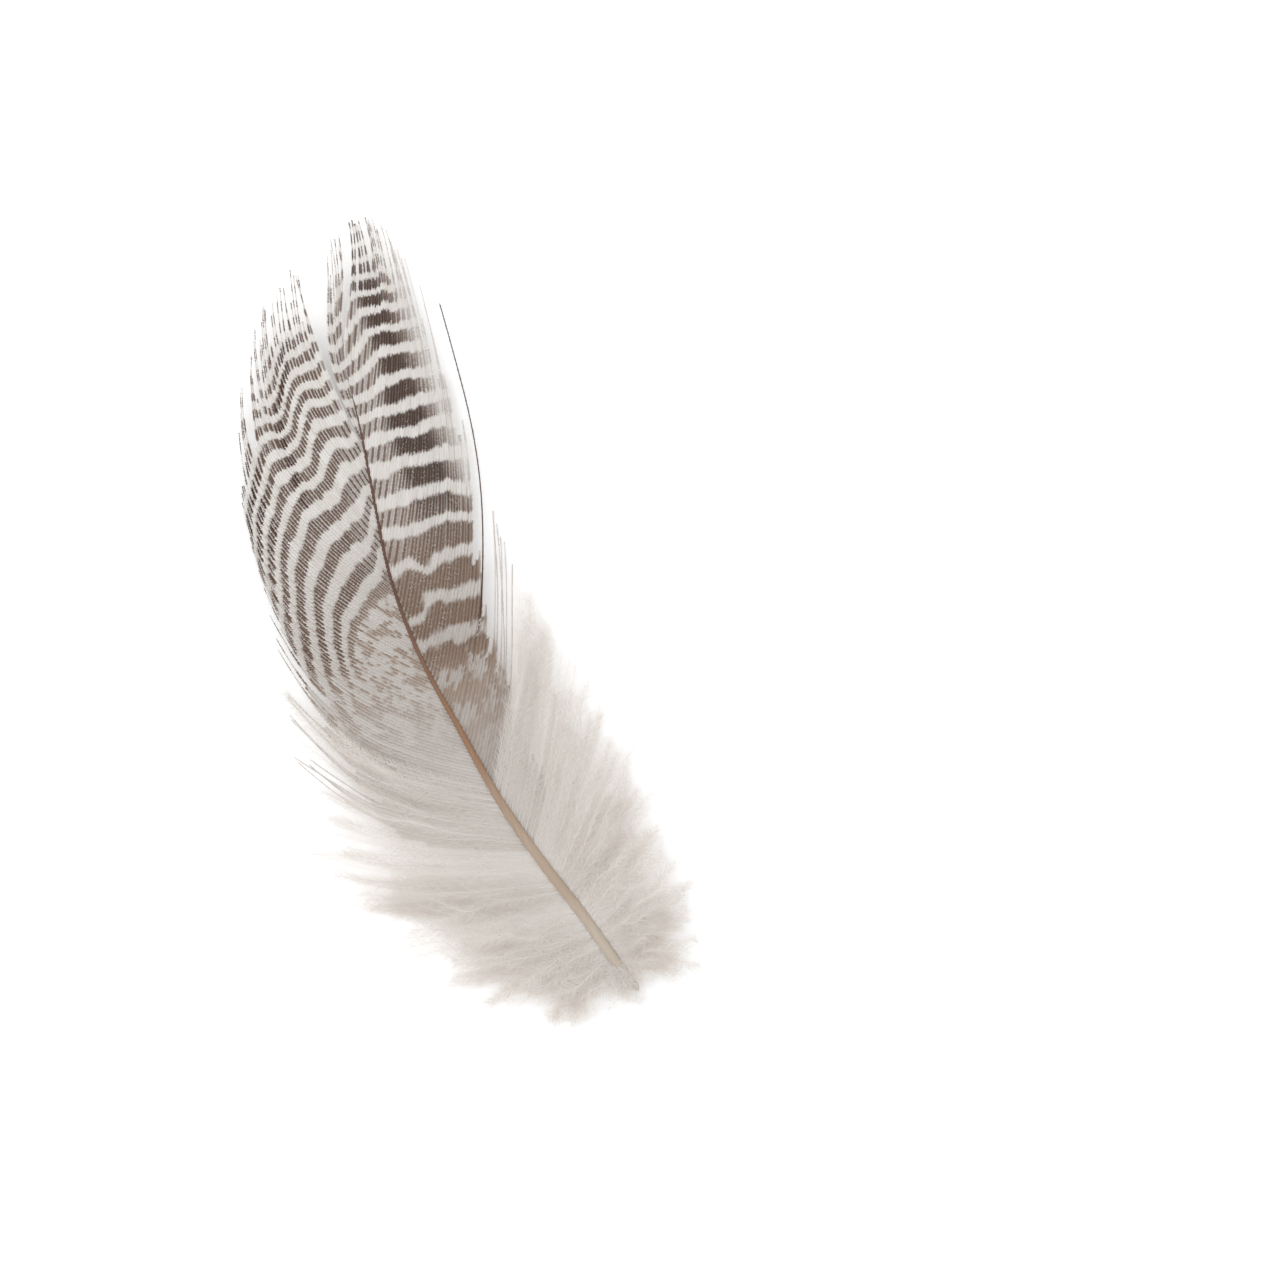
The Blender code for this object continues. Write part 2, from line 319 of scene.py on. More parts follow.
# Horn: colours along the shaft, from the quill's end, and how far streaks shift them
HORN_STOPS = (
    (0.0, QUILL_IVORY), (0.09, QUILL_IVORY), (0.18, QUILL_HORN), (0.24, QUILL_HORN), (0.41, SHAFT_AMBER),
    (0.64, SHAFT_BROWN), (1.0, SHAFT_BROWN),
)
STREAK_SHIFT = 0.12

# Floor and lights, in metres and watts
FLOOR_SIZE = 3.0
FLOOR_GLOW = 0.18
SKY_STRENGTH = 0.90
LAMP_SIZE = 0.5
LAMP_POWER = 1.1
LAMP_PLACE = (-0.35, 0.35, 0.6)
LAMP_TURN_DEG = (-39.0, 0.0, 45.0)

# Photograph: its width, millimetres for each pixel, the plan point at its middle and its turn, and the
# camera's height in metres, sensor in millimetres and nearest distance in metres
PHOTO_WIDTH_PX = 1280
PX_MM = 0.0843
VIEW_MIDDLE_MM = (9.69, 26.44)
VIEW_TURN_DEG = -19.78
CAMERA_HEIGHT = 0.45
SENSOR = 36.0
NEAREST = 0.01


def through(keys, at):
    """Read smooth curves through rows of keys, sorted by their first value, at many places."""
    table = np.array(keys, float)
    places, values = table[:, 0], table[:, 1:]
    at = np.clip(np.asarray(at, float), places[0], places[-1])
    low = np.clip(np.searchsorted(places, at) - 1, 0, len(places) - 2)
    slopes = np.gradient(values, places, axis=0)
    step = (places[low + 1] - places[low])[..., None]
    f = (at - places[low])[..., None] / step
    start = (2 * f**3 - 3 * f**2 + 1) * values[low] + (f**3 - 2 * f**2 + f) * step * slopes[low]
    end = (3 * f**2 - 2 * f**3) * values[low + 1] + (f**3 - f**2) * step * slopes[low + 1]
    return start + end


def smoothstep(low, high, value):
    """Ease from 0 at low to 1 at high."""
    f = np.clip((value - low) / (high - low), 0.0, 1.0)
    return f * f * (3.0 - 2.0 * f)


def shaft_x(y):
    """Plan x of the shaft's middle at y."""
    return through([(b, a) for a, b in SHAFT_PLAN_MM], y)[..., 0]


def shaft_radius(y):
    """Radius of the shaft at y."""
    return through(SHAFT_RADII_MM, y)[..., 0]


def arch(x, y):
    """Height of the vanes' underside above the floor at plan points."""
    along = np.clip((y - ARCH_FROM_MM) / (ARCH_TO_MM - ARCH_FROM_MM), 0.0, 1.0)
    ridge = ARCH_MM * np.clip(np.sin(math.pi * along), 0.0, 1.0) ** ARCH_ROUNDNESS
    away = x - shaft_x(y)
    reach = np.where(away < 0.0, LEFT_REACH_MM, RIGHT_REACH_MM)
    return ridge * np.clip(1.0 - (away / reach) ** 2, 0.0, 1.0)


def barb_paths(table, side, roots, t):
    """Plan points of barbs: roots has one height for each barb, t one row of parts for each barb."""
    lean, tip_x, tip_y, tip_lean = np.moveaxis(through(table, roots), -1, 0)
    handle = LEFT_HANDLE if side < 0 else RIGHT_HANDLE
    leave = np.stack([side * np.sin(np.radians(lean)), np.cos(np.radians(lean))], -1)
    arrive = np.stack([side * np.sin(np.radians(tip_lean)), np.cos(np.radians(tip_lean))], -1)
    start = np.stack([shaft_x(roots) + side * ROOT_DEPTH * shaft_radius(roots), roots], -1)
    tip = np.stack([tip_x, tip_y], -1)
    length = np.linalg.norm(tip - start, axis=-1)[:, None]
    near = start + leave * length * handle
    far = tip - arrive * length * handle
    u = (1.0 - t)[..., None]
    t = t[..., None]
    start, near, far, tip = (p[:, None] for p in (start, near, far, tip))
    return u**3 * start + 3 * u * u * t * near + 3 * u * t * t * far + t**3 * tip


def even_roots(table, side, ends, pitch, part):
    """Root heights of barbs that lie a pitch apart, measured across them at a part of their length."""
    count = 600
    near = 0.05
    tries = np.linspace(*ends, count)
    parts = (part - near, part, part + near)
    before, middle, after = (barb_paths(table, side, tries, np.full((count, 1), t))[:, 0] for t in parts)
    along = after - before
    along /= np.linalg.norm(along, axis=1, keepdims=True)
    step = np.diff(middle, axis=0)
    apart = np.abs(step[:, 0] * along[1:, 1] - step[:, 1] * along[1:, 0])
    run = np.concatenate([[0.0], np.cumsum(apart)])
    return np.interp(np.arange(0.0, run[-1], pitch), run, tries)


def waves(rng, barbs, rows, size, turns):
    """Smooth random waves, one row for each barb, zero at its root."""
    t = np.linspace(0.0, 1.0, rows)[None]
    total = np.zeros((barbs, rows))
    for k in range(1, 4):
        phase = rng.uniform(0.0, 2 * math.pi, (barbs, 1))
        total += np.sin(2 * math.pi * turns * k * 0.6 * t + phase) * rng.uniform(0.3, 1.0, (barbs, 1)) / k
    return size * total * smoothstep(0.0, 0.5, t)


def frames(points):
    """Unit directions along, across (to the right of travel) and up for each point of each path."""
    along = np.gradient(points, axis=1)
    along /= np.linalg.norm(along, axis=-1, keepdims=True) + 1e-12
    up = np.array([0.0, 0.0, 1.0])
    across = np.cross(along, up)
    across /= np.linalg.norm(across, axis=-1, keepdims=True) + 1e-12
    return along, across, np.cross(across, along)


def swayed(plan, rng, size, turns):
    """Plan paths with smooth random waves sideways."""
    flat = np.concatenate([plan, np.zeros(plan.shape[:2] + (1,))], -1)
    across = frames(flat)[1][..., :2]
    return plan + across * waves(rng, *plan.shape[:2], size, turns)[..., None]


class Net:
    """Quads gathered in arrays, with a value of each named attribute at each corner point."""

    def __init__(self, names):
        self.points, self.quads, self.maps = [], [], []
        self.values = {name: [] for name in names}
        self.count = 0

    def add_grid(self, points, uv, values, closed=False):
        """Add sheets of shape (sheets, rows, columns, 3); closed joins the last column to the first."""
        sheets, rows, columns = points.shape[:3]
        ids = self.count + np.arange(sheets * rows * columns).reshape(sheets, rows, columns)
        ring = np.concatenate([ids, ids[:, :, :1]], 2) if closed else ids
        quads = np.stack([ring[:, :-1, :-1], ring[:, :-1, 1:], ring[:, 1:, 1:], ring[:, 1:, :-1]], -1)
        corners = np.stack([uv[:, :-1, :-1], uv[:, :-1, 1:], uv[:, 1:, 1:], uv[:, 1:, :-1]], -2)
        self.points.append(points.reshape(-1, 3))
        self.quads.append(quads.reshape(-1, 4))
        self.maps.append(corners.reshape(-1, 2))
        for name, kept in self.values.items():
            kept.append(np.broadcast_to(values[name], points.shape[:3]).reshape(-1))
        self.count += sheets * rows * columns

    def make(self, name, look, slot, *nodes):
        """Make the mesh about the frame's origin, in metres, ride it on the feather and replace nodes."""
        points = np.concatenate(self.points)
        points[:, 2] = np.clip(points[:, 2], LOWEST_MM, HIGHEST_MM)
        points = (points - np.array([*CENTRE_MM, 0.0])) * MM
        quads = np.concatenate(self.quads)
        mesh = bpy.data.meshes.new(name)
        mesh.vertices.add(len(points))
        mesh.vertices.foreach_set("co", points.astype(np.float32).ravel())
        mesh.loops.add(quads.size)
        mesh.loops.foreach_set("vertex_index", quads.astype(np.int32).ravel())
        mesh.polygons.add(len(quads))
        mesh.polygons.foreach_set("loop_start", np.arange(0, quads.size, 4, dtype=np.int32))
        mesh.update(calc_edges=True)
        for label, kept in self.values.items():
            layer = mesh.attributes.new(label, "FLOAT", "POINT")
            layer.data.foreach_set("value", np.concatenate(kept).astype(np.float32))
        layer = mesh.uv_layers.new(name="OFBake")
        layer.data.foreach_set("uv", np.concatenate(self.maps).astype(np.float32).ravel())
        mesh.validate()
        mesh.shade_smooth()
        mesh.materials.append(look)
        made = bpy.data.objects.new(name, mesh)
        bpy.context.scene.collection.objects.link(made)
        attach(made, "root")
        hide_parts(*nodes)
        return made


def at_rows(values, rows):
    """Read rows of values, one for each barb, at fractional row numbers."""
    low = np.clip(np.floor(rows).astype(int), 0, values.shape[1] - 2)
    f = rows - low
    barbs = np.arange(len(values))[:, None]
    first, second = values[barbs, low], values[barbs, low + 1]
    if values.ndim == 3:
        f = f[..., None]
    return first * (1.0 - f) + second * f


def add_rami(net, points, width, height, values, strip, first):
    """Add each barb's ramus: a low three-sided rod along its path, width to each side and height above."""
    _, across, up = frames(points)
    w, h = width[..., None], height[..., None]
    ring = np.stack([points - across * w, points + up * h, points + across * w], 2)
    barbs, rows = points.shape[:2]
    u = np.broadcast_to(np.linspace(0.01, 0.99, rows)[None, :, None], (barbs, rows, 4))
    v = (first + np.arange(barbs)[:, None, None] + np.array(RAMUS_STRIP)[None, None]) * strip
    uv = np.stack([u, np.broadcast_to(v, u.shape)], -1)
    net.add_grid(ring, uv, {k: v[..., None] for k, v in values.items()}, closed=True)


def add_barbules(net, points, values, length, width, strip, first, rng,
                 start, pitch, lean, rise, bend, steps, stray):
    """Add the barbules on both sides of each barb: thin blades that lean to its tip, give or take stray."""
    along, across, up = frames(points)
    rows = points.shape[1]
    run = np.linalg.norm(np.diff(points, axis=1), axis=-1).sum(1)
    count = int(run.max() / pitch)
    place = np.linspace(start, 0.995, count)[None]
    place = place + rng.uniform(-0.3, 0.3, (len(points), count)) * (1.0 - start) / count
    at = np.clip(place, 0.0, 1.0) * (rows - 1)
    base, t, s, n = (at_rows(v, at) for v in (points, along, across, up))
    local = {k: at_rows(v, at) for k, v in values.items()}
    reach, thick = at_rows(length, at), at_rows(width, at)
    for side in (-1, 1):
        tilt = np.radians(lean + rng.uniform(-stray, stray, at.shape))[..., None]
        lift = np.radians(rng.uniform(rise[0], rise[1], at.shape))[..., None]
        out = s * side * np.cos(lift) + n * np.sin(lift)
        way = t * np.cos(tilt) + out * np.sin(tilt)
        flat = np.cross(way, n)
        flat /= np.linalg.norm(flat, axis=-1, keepdims=True) + 1e-12
        span = (reach * rng.uniform(0.75, 1.15, at.shape))[..., None]
        lines, maps, edge = [], [], []
        for k in range(steps + 1):
            f = k / steps
            curl = (t * bend + np.array([0.0, 0.0, -0.25 * abs(bend)])) * f * f
            middle = base + (way * f + curl) * span
            half = flat * (thick * (1.0 - 0.6 * f))[..., None] * 0.5
            lines.append(np.stack([middle - half, middle + half], -2))
            u = np.stack([place - 0.35 / count, place + 0.35 / count], -1) * 0.98 + 0.01
            v = (first + np.arange(len(points))[:, None] + 0.5 + side * (0.1 + 0.36 * f)) * strip
            maps.append(np.stack([u, np.broadcast_to(v[..., None], u.shape)], -1))
            edge.append(np.full(at.shape + (2,), max(f, 0.15)))
        shape = (-1, steps + 1, 2)
        blades = np.stack(lines, 2).reshape(*shape, 3)
        uv = np.stack(maps, 2).reshape(*shape, 2)
        kept = {k: np.repeat(v.reshape(-1), 2 * (steps + 1)).reshape(shape) for k, v in local.items()}
        kept["edge"] = np.stack(edge, 2).reshape(shape)
        net.add_grid(blades, uv, kept)


def arc_radius(x, y):
    """Radius along the shaft of the oval arc, among the left vane's bars, through each plan point."""
    out, up = x - ARC_MIDDLE_MM[0], y - ARC_MIDDLE_MM[1]
    radius = np.hypot(up, 1.5 * out)
    for _ in range(5):
        radius = np.hypot(up, out * radius / (ARC_WIDTH[0] + ARC_WIDTH[1] * radius))
    return radius


def arc_level(x, y):
    """Height near the shaft that the left vane's bar through each plan point comes from."""
    level = ARC_MIDDLE_MM[1] + arc_radius(x, y)
    levels, middles, dips = np.array(ARC_DIP_MM).T
    middle, dip = np.interp(level, levels, middles), np.interp(level, levels, dips)
    rise = np.interp(level, *np.array(ARC_RISE_MM).T)
    dipped = level + dip * np.exp(-((x - middle) / ARC_DIP_WIDTH_MM) ** 2)
    return dipped - rise * smoothstep(*ARC_RISE_BESIDE_MM, shaft_x(y) - x)


def bar_phase(side, x, y):
    """Number of dark bars from the lowest one, whole at the middle of each, at plan points."""
    if side < 0:
        level = arc_level(x, y)
        level = level + 0.16 * np.sin(1.3 * x + 0.45 * y) + 0.07 * np.sin(3.3 * x - 0.6 * y)
        return np.interp(level, LEFT_BARS_MM, np.arange(len(LEFT_BARS_MM)))
    # What is added to y here puts the bars that much lower
    slope = 0.06 * (x - shaft_x(y)) + 0.12 * np.sin(1.3 * x + 0.35 * y)
    crown = 0.75 * np.clip(-3.2 - x, 0.0, 3.0) * smoothstep(50.0, 57.0, y)
    outer = 0.9 * smoothstep(-1.2, 1.2, x) * (1.0 - smoothstep(44.0, 50.0, y))
    dip = 1.1 * np.exp(-((x + 5.2) / 0.55) ** 2 - ((y - 38.3) / 1.6) ** 2)
    hook = 1.6 * smoothstep(-5.9, -7.0, x) * np.exp(-((y - 34.8) / 1.6) ** 2)
    return np.interp(y + slope + crown + outer + dip + hook, RIGHT_BARS_MM, np.arange(len(RIGHT_BARS_MM)))


def left_looks(x, y, past):
    """How the left vane's bars look at plan points that lie past the firm vane by a distance."""
    streak = np.exp(-((x - through(LEFT_STREAK_MM, y)[..., 0]) / STREAK_WIDTH_MM) ** 2)
    streak = streak * smoothstep(*STREAK_FROM_MM, y) * (1.0 - smoothstep(*STREAK_TO_MM, y))
    rim = smoothstep(*RIM_X_MM, x) * smoothstep(*RIM_FROM_MM, y)
    depth = np.minimum(0.90 + 0.10 * streak + 0.10 * rim, 1.0)
    depth = depth * smoothstep(*LEFT_BARRED_FROM_MM, y + 0.15 * (x + 8.5))
    depth = depth * (1.0 - 0.5 * smoothstep(0.0, 1.0, past) * smoothstep(46.0, 38.0, y))
    mottle = 1.0 - smoothstep(*LEFT_MOTTLE_OUT_MM, arc_radius(x, y)) * smoothstep(*LEFT_MOTTLE_TO_MM, y)
    return {
        "depth": depth,
        "share": 0.50 + 0.12 * streak + 0.10 * rim,
        "warm": 0.85 * (1.0 - 0.9 * np.maximum(streak, rim)),
        "mottle": mottle,
        "solid": 0.30 + 0.45 * streak,
        "fade": 0.75 * mottle,
        "dusk": 0.62 * (1.0 - smoothstep(*LEFT_DUSK_TO_MM, y)),
    }


def right_looks(x, y, past):
    """How the right vane's bars look at plan points that lie past the firm vane by a distance."""
    inner = x - CORE_MOVE_MM * smoothstep(*CORE_MOVES_MM, y)
    core = smoothstep(*CORE_IN_MM, inner) * smoothstep(*CORE_OUT_MM, x)
    high = smoothstep(*CORE_FROM_MM, y)
    low = 1.0 - smoothstep(*RIGHT_LOW_TO_MM, y)
    mottle = 1.0 - smoothstep(*RIGHT_MOTTLE_TO_MM, y)
    depth = 0.95 - 0.12 * high * (1.0 - core)
    depth = depth * (1.0 - 0.85 * smoothstep(0.0, 0.7, past))
    depth = depth * (1.0 - 0.72 * smoothstep(*MARGIN_X_MM, x) * smoothstep(*MARGIN_FROM_MM, y))
    depth = depth * (1.0 - 0.08 * smoothstep(*TIP_PALE_MM, y))
    depth = depth * smoothstep(*RIGHT_BARRED_FROM_MM, y)
    return {
        "depth": depth,
        "share": 0.66 - 0.12 * high * (1.0 - 0.5 * core),
        "warm": 1.0 - core * smoothstep(*CORE_WARM_TO_MM, y),
        "mottle": mottle,
        "solid": 0.30 + 0.62 * np.maximum(core * high * smoothstep(*CORE_TO_MM, y), 0.9 * low),
        "fade": np.maximum(0.75 * mottle, 0.30 * low),
        "dusk": 0.95 * (1.0 - smoothstep(*RIGHT_DUSK_TO_MM, y)),
    }


def tip_height(x, y):
    """Height of plan points as measured across the slanting tips of both vanes."""
    return y - 0.35 * (x + 6.0)


def bar_values(side, plan, run, rng):
    """Values along each barb that the barred material reads: where dark bars lie, and how they look."""
    x, y = plan[..., 0], plan[..., 1]
    barbs = len(plan)
    ragged = 0.07 + 0.17 * smoothstep(55.0, 63.0, tip_height(x, y))
    pairs = np.repeat(rng.uniform(-1.0, 1.0, (barbs + 1) // 2), 2)[:barbs, None]
    phase = bar_phase(side, x, y) + ragged * (0.4 * rng.uniform(-1.0, 1.0, (barbs, 1)) + 0.7 * pairs)
    past = past_firm(side, plan)
    values = left_looks(x, y, past) if side < 0 else right_looks(x, y, past)
    dusky = values["dusk"] * smoothstep(*DUSK_FROM_MM[side], y)
    values["dusk"] = dusky * (1.0 - 0.75 * smoothstep(0.0, 1.5, past))
    beside = smoothstep(*BESIDE_SHAFT_MM, np.abs(x - shaft_x(y))) * smoothstep(*BESIDE_FROM_MM, y)
    odd = (np.arange(barbs) % 2)[:, None]
    values["depth"] = values["depth"] * (1.0 - 0.55 * beside * odd)
    values["solid"] = np.maximum(values["solid"], 0.80 * beside * (1.0 - odd))
    values["bar"] = phase
    values["run"] = run
    values["tone"] = np.broadcast_to(rng.uniform(0.0, 1.0, (barbs, 1)), x.shape)
    values["edge"] = np.zeros(x.shape)
    values["lane"] = np.broadcast_to(np.arange(barbs, dtype=float)[:, None], x.shape)
    return values


def clumps(rng, barbs, size):
    """Clump number of each barb, in runs of about size barbs."""
    runs = rng.integers(max(1, size - size // 2), size + size // 2 + 1, barbs)
    return np.repeat(np.arange(barbs), runs)[:barbs]


def drawn_in(table, side, roots, t, clump, opening, gather):
    """How far each barb moves to the middle of its clump, past the part opening."""
    middle = np.array([roots[clump == k].mean() for k in clump])
    away = barb_paths(table, side, middle, t) - barb_paths(table, side, roots, t)
    pull = np.clip((t - opening) / (1.0 - opening), 0.0, 1.0) ** 1.2 * gather
    return away * pull[..., None]


def past_firm(side, plan):
    """How far plan points lie outside the firm vane."""
    table = LEFT_FIRM_MM if side < 0 else RIGHT_FIRM_MM
    return side * (plan[..., 0] - through(table, plan[..., 1])[..., 0])


def barb_ends(side, full, rng, kept):
    """Part of its path that each barb keeps: to the tip, or only to the firm vane's edge."""
    barbs, rows = full.shape[:2]
    limit = np.where(rng.random((barbs, 1)) < kept, NO_LIMIT_MM, rng.uniform(*FIRM_STRAY_MM, (barbs, 1)))
    out = (past_firm(side, full) > limit) & (np.arange(rows) > 0.3 * rows)
    first = np.where(out.any(1), out.argmax(1), rows - 1)
    part = rng.uniform(*LONG_PARTS, (barbs, 1))
    if barbs > 1:
        short = rng.random((barbs, 1)) < SHORT_SHARE
        part = np.where(short, rng.uniform(*SHORT_PARTS, (barbs, 1)), part)
    return (first / (rows - 1.0))[:, None] * part


def split_shift(roots, t):
    """How far the left vane's barbs move to open its split: inner ones right and outer ones left."""
    root, opening, half = LEFT_SPLIT
    away = (roots - root)[:, None]
    near = np.exp(-np.abs(away) / SPLIT_SPREAD_MM)
    return half * np.sign(away) * near * smoothstep(opening, opening + 0.3, t)


def vane_plan(table, side, bars, roots, t, rng):
    """Plan points of a vane's barbs, locked together, parted at the left vane's split and a little wavy."""
    plan = barb_paths(table, side, roots, t)
    for size, opening, gather in LOCKING:
        drawn = drawn_in(table, side, roots, t, clumps(rng, len(roots), size), opening, gather)
        if side > 0:
            drawn = drawn * smoothstep(*RIGHT_LOOSE_MM, roots)[:, None, None]
        plan = plan + drawn
    if bars < 0:
        plan[..., 0] += split_shift(roots, t)
    plan[..., 0] -= 0.12 * bars * np.clip(past_firm(bars, plan), 0.0, None)
    return swayed(plan, rng, BARB_WAVE_MM, 1.5)


def darkened(values, dark):
    """A barb's values, dark all over as far as dark says."""
    values["depth"] = np.maximum(values["depth"], dark)
    for name in ("bar", "mottle", "fade"):
        values[name] = values[name] * (1.0 - dark)
    values["solid"] = np.maximum(values["solid"], dark)
    values["warm"] = values["warm"] * (1.0 - 0.6 * dark)
    return values


def looseness(side, plan, t):
    """How loose barbs are: outside the firm vane, in their last third and at the feather's tip."""
    loose = smoothstep(-0.3, 0.8, past_firm(side, plan))
    loose = np.maximum(loose, smoothstep(0.62, 0.92, t))
    return np.maximum(loose, smoothstep(57.0, 64.0, tip_height(plan[..., 0], plan[..., 1])))


def vane_reach(table, roots, run, loose):
    """Reach of a vane's barbules: past the next barb near the shaft, and shorter where barbs are loose."""
    apart = STRAND_GAP_MM
    if len(roots) > 1:
        apart = np.gradient(roots) * np.abs(np.sin(np.radians(through(table, roots)[:, 0])))
    near = np.clip(NEAR_REACH * apart, *NEAR_REACH_MM) * np.ones(len(roots))
    reach = near[:, None] + (FAR_REACH_MM - near[:, None]) * smoothstep(*FAR_RUN_MM, run)
    return (reach - LOOSE_SHORTER_MM * loose) * smoothstep(-0.3, 0.2, run)


def vane_barbs(net, table, side, bars, roots, rng, kept, strip, first=0, dark=0.0):
    """Add barbs that grow on one side, with their barbules. The side of the vane that they are part of is
    bars, which is the other one for the tip's barbs; dark is how dark their outer part is all over."""
    barbs = len(roots)
    whole = np.broadcast_to(np.linspace(0.0, 1.0, BARB_ROWS), (barbs, BARB_ROWS))
    t = whole * barb_ends(bars, barb_paths(table, side, roots, whole), rng, kept)
    plan = vane_plan(table, side, bars, roots, t, rng)
    height = arch(plan[..., 0], plan[..., 1]) + VANE_LIFT_MM + waves(rng, *t.shape, BARB_RIPPLE_MM, 1.2)
    points = np.concatenate([plan, height[..., None]], -1)
    steps = np.linalg.norm(np.diff(points, axis=1), axis=-1)
    run = np.concatenate([np.zeros((barbs, 1)), np.cumsum(steps, axis=1)], 1)
    dark = dark * smoothstep(-0.9, -0.1, past_firm(bars, plan))
    values = darkened(bar_values(bars, plan, run, rng), dark)
    taper = 1.0 - 0.55 * t
    half = (RAMUS_HALF_MM + STRAND_EXTRA_MM * dark) * taper
    add_rami(net, points, half, RAMUS_HEIGHT_MM * taper, values, strip, first)
    loose = looseness(bars, plan, t)
    reach = vane_reach(table, roots, run, loose)
    blade = BARBULE_WIDTH_MM - LOOSE_FINER_MM * loose
    add_barbules(net, points, values, reach, blade, strip, first, rng, **VANE_BARBULES)


def node(tree, kind, place, **settings):
    """Add a node with settings."""
    made = tree.nodes.new(kind)
    made.location = place
    for key, value in settings.items():
        setattr(made, key, value)
    return made


def math_node(tree, kind, first, second, place, third=None):
    """Add a Math node on values, each a socket, a number or, where the node needs none, nothing."""
    made = node(tree, "ShaderNodeMath", place, operation=kind)
    for k, value in enumerate((first, second, third)):
        if value is None:
            continue
        if isinstance(value, (int, float)):
            made.inputs[k].default_value = value
        else:
            tree.links.new(value, made.inputs[k])
    return made.outputs[0]


def eased(tree, value, start, end, place, ends=(0.0, 1.0)):
    """Add a smooth Map Range node that leads a value from start and end to two ends."""
    made = node(tree, "ShaderNodeMapRange", place, interpolation_type="SMOOTHSTEP")
    settings = {"From Min": start, "From Max": end, "To Min": ends[0], "To Max": ends[1]}
    for key, setting in settings.items():
        made.inputs[key].default_value = setting
    tree.links.new(value, made.inputs["Value"])
    return made.outputs[0]


def mixed(tree, factor, first, second, place):
    """Add a colour Mix node; each colour is a socket or a linear triple."""
    made = node(tree, "ShaderNodeMix", place, data_type="RGBA")
    tree.links.new(factor, made.inputs["Factor"])
    for key, value in (("A", first), ("B", second)):
        socket = next(s for s in made.inputs if s.identifier == key + "_Color")
        if isinstance(value, tuple):
            socket.default_value = (*value, 1.0)
        else:
            tree.links.new(value, socket)
    return next(s for s in made.outputs if s.identifier == "Result_Color")


def noise(tree, scale, detail, place, stretch=None):
    """Add a Noise texture in object coordinates, in cells for each metre."""
    coords = node(tree, "ShaderNodeTexCoord", (place[0] - 400, place[1]))
    source = coords.outputs["Object"]
    if stretch is not None:
        scaled = node(tree, "ShaderNodeMapping", (place[0] - 200, place[1]))
        scaled.inputs["Scale"].default_value = stretch
        tree.links.new(source, scaled.inputs["Vector"])
        source = scaled.outputs["Vector"]
    made = node(tree, "ShaderNodeTexNoise", place)
    made.inputs["Scale"].default_value = scale
    made.inputs["Detail"].default_value = detail
    tree.links.new(source, made.inputs["Vector"])
    return made.outputs["Fac"]


def value_of(tree, name, place):
    """Read a named attribute."""
    return node(tree, "ShaderNodeAttribute", place, attribute_name=name).outputs["Fac"]


def new_material(name, roughness):
    """Make a material with a Principled shader, and return it with its tree and shader."""
    made = bpy.data.materials.new(name)
    made.use_nodes = True
    tree = made.node_tree
    shader = tree.nodes["Principled BSDF"]
    shader.inputs["Roughness"].default_value = roughness
    return made, tree, shader


def add_bump(tree, shader, height, strength, distance):
    """Feed a height to the shader's normal."""
    bump = node(tree, "ShaderNodeBump", (-250, -400))
    bump.inputs["Strength"].default_value = strength
    bump.inputs["Distance"].default_value = distance
    tree.links.new(height, bump.inputs["Height"])
    tree.links.new(bump.outputs["Normal"], shader.inputs["Normal"])


def fleck_noise(tree, lanes, scale, place):
    """Noise over barb numbers and runs along barbs, about nought."""
    made = node(tree, "ShaderNodeTexNoise", place)
    made.inputs["Scale"].default_value = scale
    made.inputs["Detail"].default_value = 1.0
    tree.links.new(lanes, made.inputs["Vector"])
    spot = (place[0] + 80, place[1])
    return math_node(tree, "MULTIPLY_ADD", made.outputs["Fac"], FLECK_GAIN, spot, FLECK_OFFSET)


def inside_bar(tree):
    """How far each point lies inside a dark bar: above nought inside it, and below nought outside."""
    rough = noise(tree, WOBBLE_SCALE, 3.0, (-1500, 300))
    wobble = math_node(tree, "MULTIPLY_ADD", rough, BAR_WOBBLE, (-1300, 300), -0.5 * BAR_WOBBLE)
    phase = math_node(tree, "ADD", value_of(tree, "bar", (-1500, 500)), wobble, (-1100, 400))
    turned = math_node(tree, "MULTIPLY", phase, 2 * math.pi, (-950, 400))
    wave = math_node(tree, "COSINE", turned, None, (-800, 400))
    share = math_node(tree, "MULTIPLY", value_of(tree, "share", (-1500, 100)), math.pi, (-1300, 100))
    limit = math_node(tree, "COSINE", share, None, (-1100, 100))
    return math_node(tree, "SUBTRACT", wave, limit, (-800, 200))


def flecked(tree, inside):
    """Break the bars up into flecks that stretch along the barbs, as far as mottle says."""
    grid = node(tree, "ShaderNodeCombineXYZ", (-1300, -150))
    lane = math_node(tree, "MULTIPLY", value_of(tree, "lane", (-1700, -100)), FLECK_LANES, (-1500, -100))
    along = math_node(tree, "MULTIPLY", value_of(tree, "run", (-1700, -300)), FLECK_RUN, (-1500, -300))
    tree.links.new(lane, grid.inputs[0])
    tree.links.new(along, grid.inputs[1])
    fine, coarse = (fleck_noise(tree, grid.outputs[0], size, (-1100, spot)) for size, spot in FLECKS)
    centred = math_node(tree, "ADD", fine, coarse, (-950, -150))
    mottle = value_of(tree, "mottle", (-1100, -350))
    broken = math_node(tree, "MULTIPLY", centred, mottle, (-800, -200))
    steady = math_node(tree, "MULTIPLY_ADD", mottle, -0.55, (-800, -350), 1.0)
    kept = math_node(tree, "MULTIPLY", inside, steady, (-720, 100))
    return math_node(tree, "ADD", kept, broken, (-650, 150))


